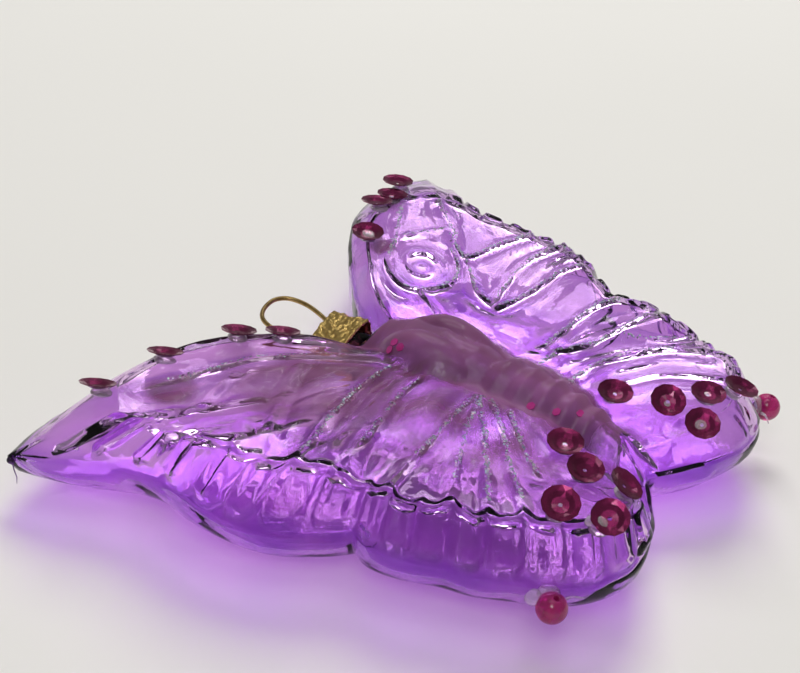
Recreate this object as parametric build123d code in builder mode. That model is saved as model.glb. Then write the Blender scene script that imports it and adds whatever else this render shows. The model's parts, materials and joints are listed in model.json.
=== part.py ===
from build123d import *
import os

# A mould-blown glass butterfly ornament that lies back up, with a crimped gold cap and its wire loop
# at the head, cup sequins, hexagonal confetti and lines of glitter on its back, and a bead on each
# hind wing. Millimetres. +Y is the head, +Z the back, and X = 0 the middle plane of the glass.
# The origin is the middle of the glass's outline, on the table that the ornament lies on.

# Glass butterfly
half_span = 60.0
half_length = 45.7
wing_crest = 17.0
crown_rise = 0.9
margin_height = 8.2
rim_half_height = 1.2
glass_wall = 1.0
body_radius = 8.6
body_line_height = 12.6
vein_height = 0.7
vein_width = 1.7
band_vein_width = 1.2

# Neck that the cap sits on, a little below the body's line
neck_radius = 3.0
neck_bore_radius = 2.15
neck_height = 11.2
neck_end = 25.8
neck_length = 9.2

# Hanger cap and its wire
cap_skirt_flare = 0.7
cap_length = 5.6
cap_turn = -19.0
cap_wall = 0.4
cap_corner = 1.3
cap_fit = 0.06
cap_seat_gap = 0.1
wire_radius = 0.42
wire_hole_clearance = 0.08
leg_spring_gap = 0.3
leg_length = 9.5
loop_width = 8.6
loop_length = 12.4
loop_lean = 1.4
loop_shoulder = 1.2
loop_bend_radius = 2.4
leg_bend_radius = 1.0

# Trim
sequin_radius = 3.0
sequin_floor_radius = 1.35
sequin_thickness = 0.22
sequin_dish = 0.75
sequin_hole_radius = 0.45
sequin_sides = 12
dab_radius = 1.3
dab_height = 0.9
bead_radius = 2.4
bead_hole_radius = 0.45
bead_gap = 0.1
bead_glue_radius = 1.7
confetti_radius = 0.75
confetti_thickness = 0.12
glitter_width = 1.0
glitter_thickness = 0.16
seat_gap = 0.02

# The wings' outline, from the neck round the tip and the notch to the tail. Each row is a point of
# the edge: across in half spans, along in half lengths, how far out towards it from the wings' middle
# the scalloped ridge stands, the ridge's height on the right and left wing in wing crests, and the
# edge's height on the right and left wing in margin heights. The blown wings twist a little: the
# right forewing's tip is raised and the left one's hangs.
wings_middle_share = -0.040
leading_edge_shares = [
    (0.000, 0.405, 0.80, 0.81, 0.81, 1.16, 1.16),
    (0.088, 0.437, 0.80, 0.86, 0.85, 1.20, 1.16),
    (0.183, 0.608, 0.81, 0.94, 0.89, 1.40, 1.20),
    (0.308, 0.751, 0.83, 1.00, 0.94, 1.65, 1.20),
    (0.477, 0.904, 0.85, 1.05, 0.93, 1.78, 1.10),
    (0.617, 0.978, 0.86, 1.07, 0.85, 1.80, 0.95),
    (0.767, 1.000, 0.85, 1.09, 0.82, 1.80, 0.78),
    (0.883, 0.991, 0.82, 1.12, 0.78, 1.80, 0.71),
    (1.000, 0.958, 0.78, 1.13, 0.74, 1.73, 0.78),
]
forewing_margin_shares = [
    (1.000, 0.958, 0.78, 1.13, 0.74, 1.73, 0.78),
    (0.980, 0.838, 0.78, 1.14, 0.86, 1.68, 0.83),
    (0.937, 0.718, 0.82, 1.11, 0.92, 1.63, 0.88),
    (0.893, 0.600, 0.84, 1.09, 0.86, 1.63, 0.93),
    (0.877, 0.466, 0.89, 1.06, 0.95, 1.56, 0.95),
    (0.892, 0.324, 0.87, 1.06, 1.08, 1.41, 0.95),
    (0.897, 0.171, 0.85, 1.08, 1.05, 1.27, 0.93),
    (0.863, 0.018, 0.83, 1.11, 1.12, 1.15, 0.90),
    (0.792, -0.103, 0.87, 1.01, 1.06, 1.07, 0.90),
    (0.715, -0.190, 0.91, 0.96, 0.93, 1.05, 0.93),
]
hindwing_margin_shares = [
    (0.715, -0.190, 0.91, 0.96, 0.93, 1.05, 0.93),
    (0.747, -0.269, 0.86, 1.00, 0.96, 1.02, 0.90),
    (0.733, -0.387, 0.92, 0.94, 1.01, 1.00, 0.90),
    (0.692, -0.508, 0.87, 1.06, 1.00, 1.00, 0.90),
    (0.670, -0.617, 0.91, 0.95, 1.04, 1.00, 0.90),
    (0.617, -0.748, 0.87, 1.05, 1.01, 1.00, 0.93),
    (0.567, -0.862, 0.89, 1.05, 1.02, 1.02, 0.95),
    (0.492, -0.950, 0.87, 1.02, 0.97, 1.05, 0.98),
    (0.375, -1.000, 0.88, 0.94, 0.92, 1.07, 1.02),
    (0.217, -0.955, 0.86, 0.80, 0.80, 1.10, 1.07),
    (0.097, -0.870, 0.84, 0.67, 0.68, 1.10, 1.10),
    (0.000, -0.800, 0.82, 0.61, 0.61, 1.10, 1.10),
]
# The rings that the wings are lofted through below the edge: how far out towards the edge, and
# height in heights of the edge.
belly_ring_shares = [(0.50, 0.0), (0.74, 0.08), (0.89, 0.32), (0.975, 0.62)]
crown_ring_share = 0.45
relief_base_share = 0.75

# The body is turned about one line along the middle. Each row is the end of one of its swells, from
# the neck through the head, the thorax and the abdomen's rings to the tail: place in half lengths,
# radius there, and radius half way back to the row before, both in body radii.
body_start_shares = (0.430, 0.34)
body_swell_shares = [
    (0.300, 0.70, 0.62),
    (-0.150, 0.74, 1.00),
    (-0.250, 0.82, 0.90),
    (-0.345, 0.79, 0.90),
    (-0.435, 0.70, 0.85),
    (-0.522, 0.59, 0.75),
    (-0.610, 0.46, 0.62),
    (-0.800, 0.14, 0.36),
]
# Each of the thorax's two lengthwise swells, beside the furrow along its back.
lobe_front_share = 0.300
lobe_back_share = -0.145
lobe_radius_share = 0.62
lobe_offset_share = 0.42
lobe_lift_share = 0.42

# Veins as runs of points on the right wing, in half spans and half lengths.
vein_shares = {
    "eyespot_base": [(0.745, 0.510), (0.585, 0.535), (0.450, 0.565)],
    "cell_end": [(0.540, 0.385), (0.445, 0.285), (0.360, 0.135)],
    "fore_1": [(0.745, 0.165), (0.600, 0.270), (0.455, 0.350), (0.320, 0.410)],
    "fore_2": [(0.700, 0.030), (0.600, 0.125), (0.375, 0.135), (0.190, 0.150), (0.100, 0.125)],
    "fore_3": [(0.665, -0.095), (0.570, 0.005), (0.400, 0.018), (0.130, 0.020)],
    "wing_fold": [(0.620, -0.250), (0.540, -0.190), (0.250, -0.188), (0.110, -0.182)],
    "hind_1": [(0.580, -0.440), (0.480, -0.350), (0.260, -0.265), (0.120, -0.215)],
    "hind_2": [(0.590, -0.590), (0.490, -0.460), (0.365, -0.375), (0.125, -0.235)],
    "hind_3": [(0.520, -0.690), (0.440, -0.535), (0.330, -0.430), (0.130, -0.265)],
    "hind_4": [(0.405, -0.790), (0.340, -0.625), (0.240, -0.465), (0.115, -0.300)],
}
# Veins that cross the band below the ridge: the point of the edge that each one ends at.
band_vein_ends = [
    forewing_margin_shares[3],
    forewing_margin_shares[6],
    forewing_margin_shares[7],
    forewing_margin_shares[8],
    hindwing_margin_shares[1],
    hindwing_margin_shares[3],
    hindwing_margin_shares[5],
    hindwing_margin_shares[7],
    hindwing_margin_shares[8],
]
band_vein_start_share = 0.96
band_vein_end_share = 0.985
eyespot_share = (0.540, 0.585)
eyespot_ring_shares = [0.130, 0.062]
glitter_runs = ["cell_end", "fore_1", "fore_2", "fore_3", "wing_fold", "hind_1", "hind_2", "hind_3", "hind_4"]

# Places of the trim in half spans and half lengths. It is glued on by hand, so the sides differ.
sequin_shares = {
    "left_forewing": [(-0.667, 0.919), (-0.483, 0.832), (-0.317, 0.678), (-0.250, 0.547)],
    "left_hindwing": [(-0.192, -0.569), (-0.267, -0.70), (-0.45, -0.722), (-0.383, -0.875), (-0.20, -0.822)],
    "right_forewing": [(0.800, 0.902), (0.700, 0.853), (0.600, 0.880), (0.417, 0.766)],
    "right_hindwing": [(0.117, -0.547), (0.217, -0.700), (0.217, -0.853), (0.333, -0.810), (0.442, -0.878)],
}
bead_end = hindwing_margin_shares[6]
eye_shares = [(0.093, 0.219), (0.108, 0.188), (0.086, 0.173)]
abdomen_confetti_shares = [(-0.060, -0.390), (-0.048, -0.479), (-0.022, -0.566)]


def place(share):
    """The plan point of a pair of shares."""
    return Vector(share[0] * half_span, share[1] * half_length)


def ring_point(row, side, reach_share, height, grow):
    """A point of one wing's outline at a height, drawn in by a share and grown outwards."""
    middle = Vector(0, wings_middle_share * half_length)
    outwards = place((side * row[0], row[1])) - middle
    reach = reach_share * outwards.length + grow
    point = middle + outwards.normalized() * reach
    return Vector(point.X, point.Y, height)


def ring(height_at, grow, reach_share=None):
    """The wings' outline as a wire, drawn in by a share or to the ridge, at a height for each row."""
    with BuildLine() as outline:
        for side in (1, -1):
            for rows in (leading_edge_shares, forewing_margin_shares, hindwing_margin_shares):
                points = [
                    ring_point(row, side, reach_share or row[2], height_at(row, side), grow) for row in rows
                ]
                Spline(points)
    return outline.wire()


def crest_height(row, side):
    """Height of the scalloped ridge."""
    return row[3 if side > 0 else 4] * wing_crest


def edge_height(row, side):
    """Height of the wing's edge."""
    return row[5 if side > 0 else 6] * margin_height


def wings(grow):
    """Both wings as one solid of stacked rings: belly, rim, band up to the ridge, and crown.

    Grown by more than zero it carries the relief, and by minus the wall it is the hollow.
    """
    rim = rim_half_height + grow / 2
    rings = []
    for reach_share, share in belly_ring_shares:
        rings.append(ring(lambda row, side: share * edge_height(row, side) - grow, grow, reach_share))
    rings.append(ring(lambda row, side: edge_height(row, side) - rim, grow, 1))
    rings.append(ring(lambda row, side: edge_height(row, side) + rim, grow, 1))
    rings.append(ring(lambda row, side: crest_height(row, side) + grow, grow / 2))
    rings.append(ring(lambda row, side: wing_crest + crown_rise + grow, grow, crown_ring_share))
    return Solid.make_loft(rings, ruled=True)


def body(grow):
    """Head, thorax and ringed abdomen turned about the body's line, and the thorax's two swells."""
    body_line = Axis((0, 0, body_line_height), (0, 1, 0))
    along, radius = body_start_shares[0] * half_length, body_start_shares[1] * body_radius + grow
    with BuildPart() as form:
        with BuildSketch(Plane.YZ):
            with BuildLine():
                Line((along + grow, body_line_height), (along + grow, body_line_height + radius))
                start = (along + grow, body_line_height + radius)
                for end_share, end_radius_share, middle_radius_share in body_swell_shares:
                    end = (end_share * half_length, body_line_height + end_radius_share * body_radius + grow)
                    middle_radius = middle_radius_share * body_radius + grow
                    ThreePointArc(start, ((start[0] + end[0]) / 2, body_line_height + middle_radius), end)
                    start = end
                Polyline(start, (start[0], body_line_height), (along + grow, body_line_height))
            make_face()
        revolve(axis=body_line)
    return form.part


def lobe(side, grow):
    """One of the thorax's lengthwise swells, a spindle turned about its own line."""
    radius = lobe_radius_share * body_radius + grow
    height = body_line_height + lobe_lift_share * body_radius
    offset = side * lobe_offset_share * body_radius
    front, back = lobe_front_share * half_length + grow, lobe_back_share * half_length - grow
    with BuildPart() as form:
        with BuildSketch(Plane.YZ.offset(offset)):
            with BuildLine():
                ThreePointArc((front, height), ((front + back) / 2, height + radius), (back, height))
                Line((back, height), (front, height))
            make_face()
        revolve(axis=Axis((offset, 0, height), (0, 1, 0)))
    return form.part


def strips(runs, width):
    """Bands of one width along runs of points, as a plan of the right wing and its mirror image."""
    with BuildSketch() as plan:
        for run in runs:
            with BuildLine():
                Polyline([place(point) for point in run])
            trace(line_width=width)
        mirror(about=Plane.YZ)
    return plan.sketch


def outside_form():
    """The glass's outer form: wings, body, swells and the relief of veins and eyespots."""
    band_veins = []
    middle = Vector(0, wings_middle_share)
    for end in band_vein_ends:
        outwards = Vector(end[0], end[1]) - middle
        start_point = middle + outwards * end[2] * band_vein_start_share
        end_point = middle + outwards * band_vein_end_share
        band_veins.append([(start_point.X, start_point.Y), (end_point.X, end_point.Y)])
    with BuildPart() as relief:
        with BuildSketch(Plane.XY.offset(relief_base_share * margin_height)):
            add(strips(vein_shares.values(), vein_width))
            add(strips(band_veins, band_vein_width))
            for side in (-1, 1):
                eyespot = place((side * eyespot_share[0], eyespot_share[1]))
                with Locations(eyespot):
                    for ring_share in eyespot_ring_shares:
                        Circle(ring_share * half_span)
                        Circle(ring_share * half_span - band_vein_width, mode=Mode.SUBTRACT)
        extrude(amount=wing_crest)
        add(wings(vein_height), mode=Mode.INTERSECT)
    with BuildPart() as form:
        add(wings(0))
        add(relief.part)
        add(body(0))
        add(lobe(-1, 0))
        add(lobe(1, 0))
    return form.part


def inside_form():
    """The hollow of the glass, one wall inside its form."""
    with BuildPart() as form:
        add(wings(-glass_wall))
        add(body(-glass_wall))
        add(lobe(-1, -glass_wall))
        add(lobe(1, -glass_wall))
    return form.part


outside = outside_form()
skin = outside.shells()[0]


def seat(share):
    """The plane that lies on the glass's back at a plan place, with Z out of the glass."""
    upright = Axis(place(share), (0, 0, 1))
    hits = skin.find_intersection_points(upright)
    point, normal = max(hits, key=lambda hit: hit[0].Z)
    return Plane(origin=point, z_dir=normal if normal.Z > 0 else -normal)


neck_plane = Plane(origin=(0, neck_end, neck_height), x_dir=(1, 0, 0), z_dir=(0, 1, 0))
with BuildPart() as glass_shell:
    add(outside)
    with BuildSketch(neck_plane):
        Circle(neck_radius)
    extrude(amount=-neck_length)
    add(inside_form(), mode=Mode.SUBTRACT)
    with BuildSketch(neck_plane):
        Circle(neck_bore_radius)
    extrude(amount=-neck_length, mode=Mode.SUBTRACT)


# Hanger cap: a square-sided cup pushed over the neck and turned on it, with a flared skirt and two
# wire holes that stay level
cap_inner_half = neck_radius + cap_fit
cap_top_inside = neck_plane.offset(cap_seat_gap)
leg_place = neck_bore_radius - leg_spring_gap - wire_radius
with BuildPart() as hanger_cap:
    for grow, top, mode in ((cap_wall, cap_wall, Mode.ADD), (0, 0, Mode.SUBTRACT)):
        top_size = 2 * (cap_inner_half + grow)
        skirt_size = 2 * (cap_inner_half + cap_skirt_flare + grow)
        with BuildSketch(cap_top_inside.offset(top)) as top_outline:
            RectangleRounded(top_size, top_size, cap_corner + grow, rotation=cap_turn)
        with BuildSketch(cap_top_inside.offset(-cap_length)) as skirt_outline:
            RectangleRounded(skirt_size, skirt_size, cap_corner + grow, rotation=cap_turn)
        loft(sections=[skirt_outline.sketch, top_outline.sketch], mode=mode)
    with BuildSketch(cap_top_inside):
        with Locations((-leg_place, 0), (leg_place, 0)):
            Circle(wire_radius + wire_hole_clearance)
    extrude(amount=cap_wall, mode=Mode.SUBTRACT)


# Hanger wire: two legs down the neck's bore and a loop that leans to one side
cap_top = neck_end + cap_seat_gap + cap_wall
shoulder = cap_top + loop_shoulder
loop_top = cap_top + loop_length - wire_radius
loop_half = loop_width / 2 - wire_radius
loop_middle = (shoulder + loop_top) / 2
legs_end = cap_top - leg_length
with BuildPart() as hanger_wire:
    with BuildLine(Plane.XY.offset(neck_height)):
        route = FilletPolyline(
            (-leg_place, legs_end),
            (-leg_place, shoulder),
            (loop_lean - loop_half, loop_middle),
            (loop_lean - loop_half / 2, loop_top),
            (loop_lean + loop_half / 2, loop_top),
            (loop_lean + loop_half, loop_middle),
            (leg_place, shoulder),
            (leg_place, legs_end),
            radius=[leg_bend_radius, *4 * [loop_bend_radius], leg_bend_radius],
        )
    with BuildSketch(Plane(origin=route @ 0, z_dir=route % 0)):
        Circle(wire_radius)
    sweep()


def sequin(plane):
    """A cup sequin: a flat floor with a hole, and flared facets up to its rim."""
    floor_plane = plane.offset(dab_height)
    with BuildPart() as cup:
        for lift, mode in ((0, Mode.ADD), (sequin_thickness, Mode.SUBTRACT)):
            with BuildSketch(floor_plane.offset(lift)) as floor_outline:
                RegularPolygon(sequin_floor_radius, sequin_sides)
            with BuildSketch(floor_plane.offset(lift + sequin_dish)) as rim_outline:
                RegularPolygon(sequin_radius, sequin_sides)
            loft(sections=[floor_outline.sketch, rim_outline.sketch], mode=mode)
        with BuildSketch(floor_plane):
            Circle(sequin_hole_radius)
        extrude(amount=sequin_thickness, mode=Mode.SUBTRACT)
    return cup.part


# Sequins, each on its own dab of glue
sequins = {}
for group, shares in sequin_shares.items():
    for number, share in enumerate(shares, start=1):
        sequins[f"sequin_{group}_{number}"] = sequin(seat(share))


def vein_glitter(side):
    """The lines of glitter glue along the tops of one side's veins."""
    with BuildPart() as lines:
        with BuildSketch(Plane.XY.offset(margin_height)):
            add(strips([vein_shares[name] for name in glitter_runs], glitter_width))
            with Locations((-side * half_span, 0)):
                Rectangle(2 * half_span, 4 * half_length, mode=Mode.SUBTRACT)
        extrude(amount=wing_crest)
        add(wings(vein_height + glitter_thickness), mode=Mode.INTERSECT)
        add(outside, mode=Mode.SUBTRACT)
    return lines.part


def glue_dabs(side, glitter):
    """The dabs of glue under the sequins of one side, cut to the glass and glitter below them."""
    with BuildPart() as dabs:
        for group, shares in sequin_shares.items():
            if group.startswith(side):
                for share in shares:
                    with BuildSketch(seat(share).offset(dab_height - seat_gap)):
                        Circle(dab_radius)
                    extrude(amount=-2 * dab_height)
        add(outside, mode=Mode.SUBTRACT)
        add(glitter, mode=Mode.SUBTRACT)
    return dabs.part


def bead_places(side):
    """The point of the hind wing's edge that a bead is glued to, and the bead's middle beyond it."""
    edge = ring_point(bead_end, side, 1, edge_height(bead_end, side), 0)
    middle = ring_point(bead_end, side, 1, edge_height(bead_end, side), bead_radius + bead_gap)
    return edge, middle


def tail_bead(side):
    """A round bead that touches the hind wing's edge from outside, bored through upright."""
    middle = bead_places(side)[1]
    with BuildPart() as ball:
        with Locations(middle):
            Sphere(bead_radius)
        with BuildSketch(Plane(origin=middle).offset(-bead_radius)):
            Circle(bead_hole_radius)
        extrude(amount=2 * bead_radius, mode=Mode.SUBTRACT)
    return ball.part


def bead_glue(side):
    """The blob of clear glue between a bead and the glass, with its poles level."""
    edge, middle = bead_places(side)
    with BuildPart() as blob:
        with Locations(edge):
            Sphere(bead_glue_radius, rotation=(90, 0, 0))
        with Locations(middle):
            Sphere(bead_radius, mode=Mode.SUBTRACT)
        add(wings(0), mode=Mode.SUBTRACT)
    return blob.part


def confetti(shares):
    """Hexagonal flakes lying on the glass."""
    with BuildPart() as flakes:
        for share in shares:
            with BuildSketch(seat(share).offset(seat_gap)):
                RegularPolygon(confetti_radius, 6)
            extrude(amount=confetti_thickness)
    return flakes.part


pieces = {"glass_shell": glass_shell.part, "hanger_cap": hanger_cap.part, "hanger_wire": hanger_wire.part}
pieces.update(sequins)
for side, name in ((-1, "left"), (1, "right")):
    pieces[f"tail_bead_{name}"] = tail_bead(side)
    pieces[f"bead_glue_{name}"] = bead_glue(side)
    pieces[f"vein_glitter_{name}"] = vein_glitter(side)
    pieces[f"sequin_glue_{name}"] = glue_dabs(name, pieces[f"vein_glitter_{name}"])
    pieces[f"eye_confetti_{name}"] = confetti([(side * across, along) for across, along in eye_shares])
pieces["abdomen_confetti"] = confetti(abdomen_confetti_shares)

os.makedirs("parts", exist_ok=True)
for name, piece in pieces.items():
    piece.label = name
    export_step(piece, f"parts/{name}.step")
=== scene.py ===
"""The looks of a blown-glass butterfly ornament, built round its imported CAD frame.

Metres in the scene, millimetres in the tables.
"""

import json
import math

import bpy
import numpy as np
from mathutils import Matrix, Vector
from mathutils.bvhtree import BVHTree

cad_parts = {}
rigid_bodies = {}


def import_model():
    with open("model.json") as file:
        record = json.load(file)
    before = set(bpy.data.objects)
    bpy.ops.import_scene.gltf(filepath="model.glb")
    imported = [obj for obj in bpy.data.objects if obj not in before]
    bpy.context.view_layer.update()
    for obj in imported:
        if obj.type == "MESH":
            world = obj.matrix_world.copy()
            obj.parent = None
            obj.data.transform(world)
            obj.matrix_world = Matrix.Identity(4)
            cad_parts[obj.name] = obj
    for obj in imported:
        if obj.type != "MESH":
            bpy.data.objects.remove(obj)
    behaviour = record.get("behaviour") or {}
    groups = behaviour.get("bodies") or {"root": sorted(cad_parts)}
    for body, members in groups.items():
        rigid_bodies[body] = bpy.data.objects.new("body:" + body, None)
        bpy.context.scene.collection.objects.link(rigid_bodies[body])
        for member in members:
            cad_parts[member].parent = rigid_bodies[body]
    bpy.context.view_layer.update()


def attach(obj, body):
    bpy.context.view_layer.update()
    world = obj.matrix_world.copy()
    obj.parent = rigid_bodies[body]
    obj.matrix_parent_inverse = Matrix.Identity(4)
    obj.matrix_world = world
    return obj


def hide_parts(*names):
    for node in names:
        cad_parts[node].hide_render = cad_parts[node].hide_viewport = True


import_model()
MM = 0.001
rng = np.random.default_rng(7)


# Helpers

def new_mesh(name, points, faces, smooth=True):
    """A mesh object from an array of points in millimetres and a list of faces."""
    mesh = bpy.data.meshes.new(name)
    mesh.from_pydata((np.asarray(points, float) * MM).tolist(), [], [list(face) for face in faces])
    mesh.polygons.foreach_set("use_smooth", np.full(len(mesh.polygons), smooth))
    mesh.update()
    item = bpy.data.objects.new(name, mesh)
    bpy.context.scene.collection.objects.link(item)
    return item


def dress(item, body, slot, *replaced):
    """Let a piece ride on a body, in place of the named CAD nodes; its slot is not used."""
    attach(item, body)
    if replaced:
        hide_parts(*replaced)


def add_attribute(item, name, values):
    """A number at every point of a mesh, for its material to read."""
    layer = item.data.attributes.new(name, "FLOAT", "POINT")
    layer.data.foreach_set("value", np.asarray(values, np.float32))


def spline(rows, count):
    """A smooth curve through rows of numbers at count even steps of its plan length.

    Cubic pieces with slopes from the neighbouring rows, paced by the root of the plan distance.
    """
    rows = np.asarray(rows, float)
    step = np.linalg.norm(np.diff(rows[:, :2], axis=0), axis=1)
    knots = np.concatenate([[0], np.cumsum(np.sqrt(np.maximum(step, 1e-6)))])
    slopes = np.gradient(rows, knots, axis=0)
    at = np.linspace(0, knots[-1], 40 * len(rows))
    k = np.clip(np.searchsorted(knots, at, side="right") - 1, 0, len(rows) - 2)
    h = (knots[k + 1] - knots[k])[:, None]
    u = ((at - knots[k]) / h[:, 0])[:, None]
    curve = (
        rows[k] * (2 * u**3 - 3 * u**2 + 1)
        + slopes[k] * h * (u**3 - 2 * u**2 + u)
        + rows[k + 1] * (3 * u**2 - 2 * u**3)
        + slopes[k + 1] * h * (u**3 - u**2)
    )
    run = np.concatenate([[0], np.cumsum(np.linalg.norm(np.diff(curve[:, :2], axis=0), axis=1))])
    where = np.linspace(0, run[-1], count)
    return np.stack([np.interp(where, run, curve[:, i]) for i in range(rows.shape[1])], 1)


def smooth_step(x, low, high):
    """0 below low, 1 above high and an even S between them."""
    t = np.clip((x - low) / (high - low), 0, 1)
    return t * t * (3 - 2 * t)


def bell(x, width):
    """A bump of height 1 at 0 that falls off over width."""
    return np.exp(-((x / width) ** 2))


def line_distance(points, line):
    """Shortest plan distance from each point to a run of line segments."""
    line = np.asarray(line, float)
    best = np.full(len(points), 1e9)
    for a, b in zip(line[:-1], line[1:]):
        d = b - a
        t = np.clip(((points - a) @ d) / max(d @ d, 1e-9), 0, 1)
        best = np.minimum(best, np.linalg.norm(points - a - t[:, None] * d, axis=1))
    return best


def waves(points, count, shortest, longest, seed):
    """A sum of sine waves in random directions, about -1 to 1: the slow ripple of blown glass."""
    source = np.random.default_rng(seed)
    total = np.zeros(len(points))
    for _ in range(count):
        direction = source.normal(size=points.shape[1])
        direction /= np.linalg.norm(direction)
        length = source.uniform(shortest, longest)
        total += np.sin(points @ direction * (2 * math.pi / length) + source.uniform(0, 6.28))
    return total / math.sqrt(count)


def ring_faces(rings, around, start=0, flip=False):
    """Quads between rings, and triangles round the one-point poles at both ends."""
    first = start + 1
    last = first + (rings - 1) * around
    i = np.arange(around)
    j = (i + 1) % around
    quads = []
    for a in range(first, last, around):
        quads.append(np.column_stack([a + i, a + j, a + around + j, a + around + i]))
    quads = np.concatenate(quads)
    pole_a = np.column_stack([np.full(around, start), first + j, first + i])
    pole_b = np.column_stack([np.full(around, last + around), last + i, last + j])
    if flip:
        quads, pole_a, pole_b = quads[:, ::-1], pole_a[:, ::-1], pole_b[:, ::-1]
    return quads.tolist() + pole_a.tolist() + pole_b.tolist()


def closed_grid(grid):
    """The points of a ring grid with its first and last rings drawn together to one point each."""
    width = grid.shape[-1]
    return np.concatenate([grid[0].mean(0)[None], grid[1:-1].reshape(-1, width), grid[-1].mean(0)[None]])


def joined(shapes):
    """Points and faces of several shapes as one."""
    points, faces, start = [], [], 0
    for some, some_faces in shapes:
        points.append(some)
        faces += [[v + start for v in face] for face in some_faces]
        start += len(some)
    return np.concatenate(points), faces


def upright_frame(normal, spin=0.0):
    """Three unit axes with the third along normal."""
    normal = np.asarray(normal, float) / np.linalg.norm(normal)
    start = np.array([math.cos(spin), math.sin(spin), 0.0])
    first = start - normal * (start @ normal)
    first /= np.linalg.norm(first)
    return np.stack([first, np.cross(normal, first), normal])


def lathe(profile, sides, origin, axes):
    """A closed surface turned from a closed loop of (radius, height) points about the third axis."""
    profile = np.asarray(profile, float)
    turn = (np.arange(sides) * 2 * math.pi / sides)[:, None]
    height = np.broadcast_to(profile[:, 1], (sides, len(profile)))
    local = np.stack([profile[:, 0] * np.cos(turn), profile[:, 0] * np.sin(turn), height], 2)
    columns = len(profile)
    i, j = np.meshgrid(np.arange(sides), np.arange(columns), indexing="ij")
    n, m = (i + 1) % sides, (j + 1) % columns
    quads = np.stack([i * columns + j, n * columns + j, n * columns + m, i * columns + m], 2)
    return local.reshape(-1, 3) @ axes + origin, quads.reshape(-1, 4).tolist()


def tube(path, radius, sides):
    """A round tube along points, closed at its ends, its frame carried along so that it doesn't twist."""
    path = np.asarray(path, float)
    radius = np.broadcast_to(radius, len(path))
    tangent = np.gradient(path, axis=0)
    tangent /= np.linalg.norm(tangent, axis=1)[:, None]
    side = np.cross(tangent[0], (0.31, 0.17, 0.93))
    turn = (np.arange(sides) * 2 * math.pi / sides)[:, None]
    rings = []
    for here, way, size in zip(path, tangent, radius):
        side = side - way * (side @ way)
        side /= np.linalg.norm(side)
        rings.append(here + size * (np.cos(turn) * side + np.sin(turn) * np.cross(way, side)))
    points = np.concatenate([path[:1], *rings, path[-1:]])
    return points, ring_faces(len(path), sides)


def blob(origin, axes, radii, seed, rings=11, around=20, wobble=0.12):
    """A closed lump: a sphere with three radii and slow random bumps."""
    phi = np.linspace(0, math.pi, rings)[:, None]
    turn = np.arange(around) * 2 * math.pi / around
    height = np.broadcast_to(np.cos(phi), (rings, around))
    flat = np.stack([np.sin(phi) * np.cos(turn), np.sin(phi) * np.sin(turn), height], 2).reshape(-1, 3)
    flat = flat * (1 + wobble * waves(flat, 6, 1.2, 2.4, seed))[:, None] * np.asarray(radii)
    lump = closed_grid((flat @ axes + origin).reshape(rings, around, 3))
    return lump, ring_faces(rings - 2, around, flip=True)


def flake(origin, axes, radius, thickness):
    """A six-sided flake, closed."""
    turn = np.arange(6) * math.pi / 3
    edge = np.stack([radius * np.cos(turn), radius * np.sin(turn), np.zeros(6)], 1)
    points = np.concatenate([edge + (0, 0, thickness), edge]) @ axes + origin
    i = np.arange(6)
    j = (i + 1) % 6
    sides = np.column_stack([i, 6 + i, 6 + j, j]).tolist()
    return points, [list(range(6)), list(range(11, 5, -1))] + sides


# Measures of the glass, millimetres

MIDDLE = np.array([0.0, -1.83])
# The edge from the neck round the tip and the notch to the tail. Rows: x and y of the edge, share of
# the way out that the scalloped ridge stands at, ridge height right and left, edge height right and left.
LEADING = [
    (0.0, 18.5, 0.80, 13.8, 13.8, 9.5, 9.5), (5.3, 20.0, 0.80, 14.6, 14.4, 9.8, 9.5),
    (11.0, 27.8, 0.81, 16.0, 15.2, 11.5, 9.8), (18.5, 34.3, 0.83, 17.0, 16.0, 13.5, 9.8),
    (28.6, 41.3, 0.85, 17.8, 15.8, 14.6, 9.2), (37.0, 44.7, 0.86, 18.2, 14.4, 14.8, 8.2),
    (46.0, 45.7, 0.85, 18.6, 14.0, 14.8, 7.2), (53.0, 45.3, 0.82, 19.0, 13.2, 14.8, 6.8),
    (60.0, 43.8, 0.78, 19.2, 12.6, 14.2, 7.0),
]
FORE_MARGIN = [
    (60.0, 43.8, 0.78, 19.2, 12.6, 14.2, 7.0), (58.8, 38.3, 0.78, 19.4, 14.6, 13.8, 8.0),
    (56.2, 32.8, 0.82, 18.8, 15.6, 13.4, 8.6), (53.6, 27.4, 0.84, 18.6, 14.6, 13.4, 8.8),
    (52.6, 21.3, 0.89, 18.0, 16.2, 12.8, 8.8), (53.5, 14.8, 0.87, 18.0, 18.0, 11.6, 8.4),
    (53.8, 7.8, 0.85, 18.4, 17.6, 10.4, 8.2), (51.8, 0.8, 0.83, 18.8, 18.4, 9.4, 8.0),
    (47.5, -4.7, 0.87, 17.2, 17.8, 8.8, 8.0), (42.9, -8.7, 0.91, 16.4, 15.8, 8.6, 8.2),
]
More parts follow.
